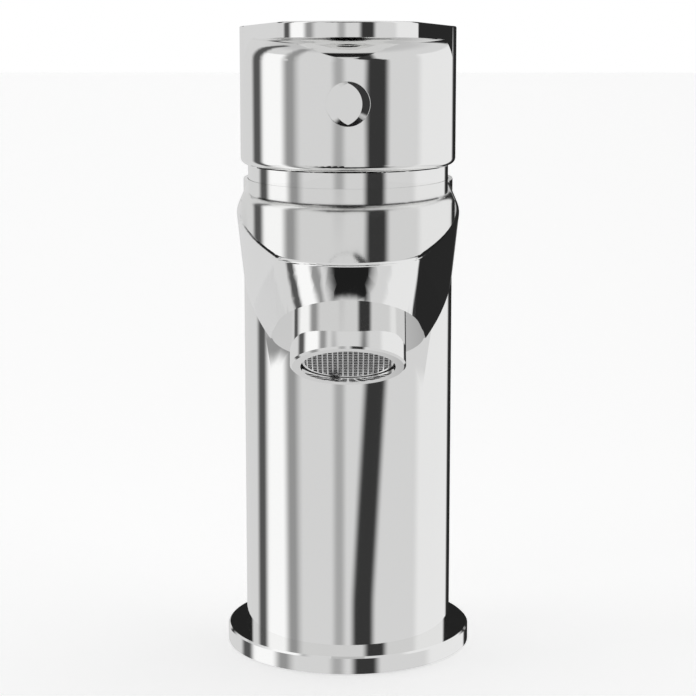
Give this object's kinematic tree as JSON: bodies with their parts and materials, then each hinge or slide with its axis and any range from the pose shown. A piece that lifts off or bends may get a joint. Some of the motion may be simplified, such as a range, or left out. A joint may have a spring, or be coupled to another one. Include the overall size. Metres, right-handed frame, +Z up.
{
  "type": "single lever basin mixer",
  "caption": "Chrome single-lever basin mixer with a flat drafted spout, a tongue-shaped lever, an angled aerator and a ceramic disc cartridge.",
  "frame": {"origin": "centre of the face that rests on the basin", "axes": "+Z up, spout along -Y, hot side at -X"},
  "size_m": [0.0568, 0.1573, 0.1462],
  "materials": {
    "chrome": "polished",
    "brass": "machined",
    "steel": "plain",
    "rubber": "moulded",
    "white_plastic": "moulded",
    "grey_plastic": "moulded",
    "ceramic": "lapped alumina",
    "stem_brass": "turned"
  },
  "bodies": {
    "tap_body": {"mixer_body": "chrome", "base_flange": "chrome", "base_gasket": "rubber", "cartridge_base": "grey_plastic", "port_seals": "rubber", "cartridge_housing": "white_plastic", "rotor_seal": "rubber", "fixed_disc": "ceramic", "cartridge_nut": "brass", "dome_cover": "chrome", "aerator_housing": "chrome", "aerator_washer": "rubber", "aerator_insert": "grey_plastic", "flow_regulator": "rubber", "aerator_screen": "steel"},
    "rotor": {"rotor": "white_plastic", "stem_pin": "steel"},
    "lever": {"handle": "chrome", "handle_insert": "brass", "grub_screw": "steel", "index_plug": "chrome", "stem": "stem_brass"},
    "disc_carriage": {"disc_carrier": "white_plastic", "moving_disc": "ceramic"}
  },
  "joints": [
    {"name": "temperature_turn", "type": "hinge", "parent": "tap_body", "child": "rotor", "pos_m": [0, 0, 0.114], "axis": [0, 0, 1], "range_deg": [-45, 45]},
    {"name": "flow_lift", "type": "hinge", "parent": "rotor", "child": "lever", "pos_m": [0, 0, 0.114], "axis": [-1, 0, 0], "range_deg": [0, 22]},
    {"name": "disc_slide", "type": "slide", "parent": "rotor", "child": "disc_carriage", "axis": [0, -1, 0], "range_m": [0, 0.0036]}
  ],
  "couplings": [
    {"joint": "disc_slide", "follows": "flow_lift", "m_per_rad": 0.00926}
  ]
}
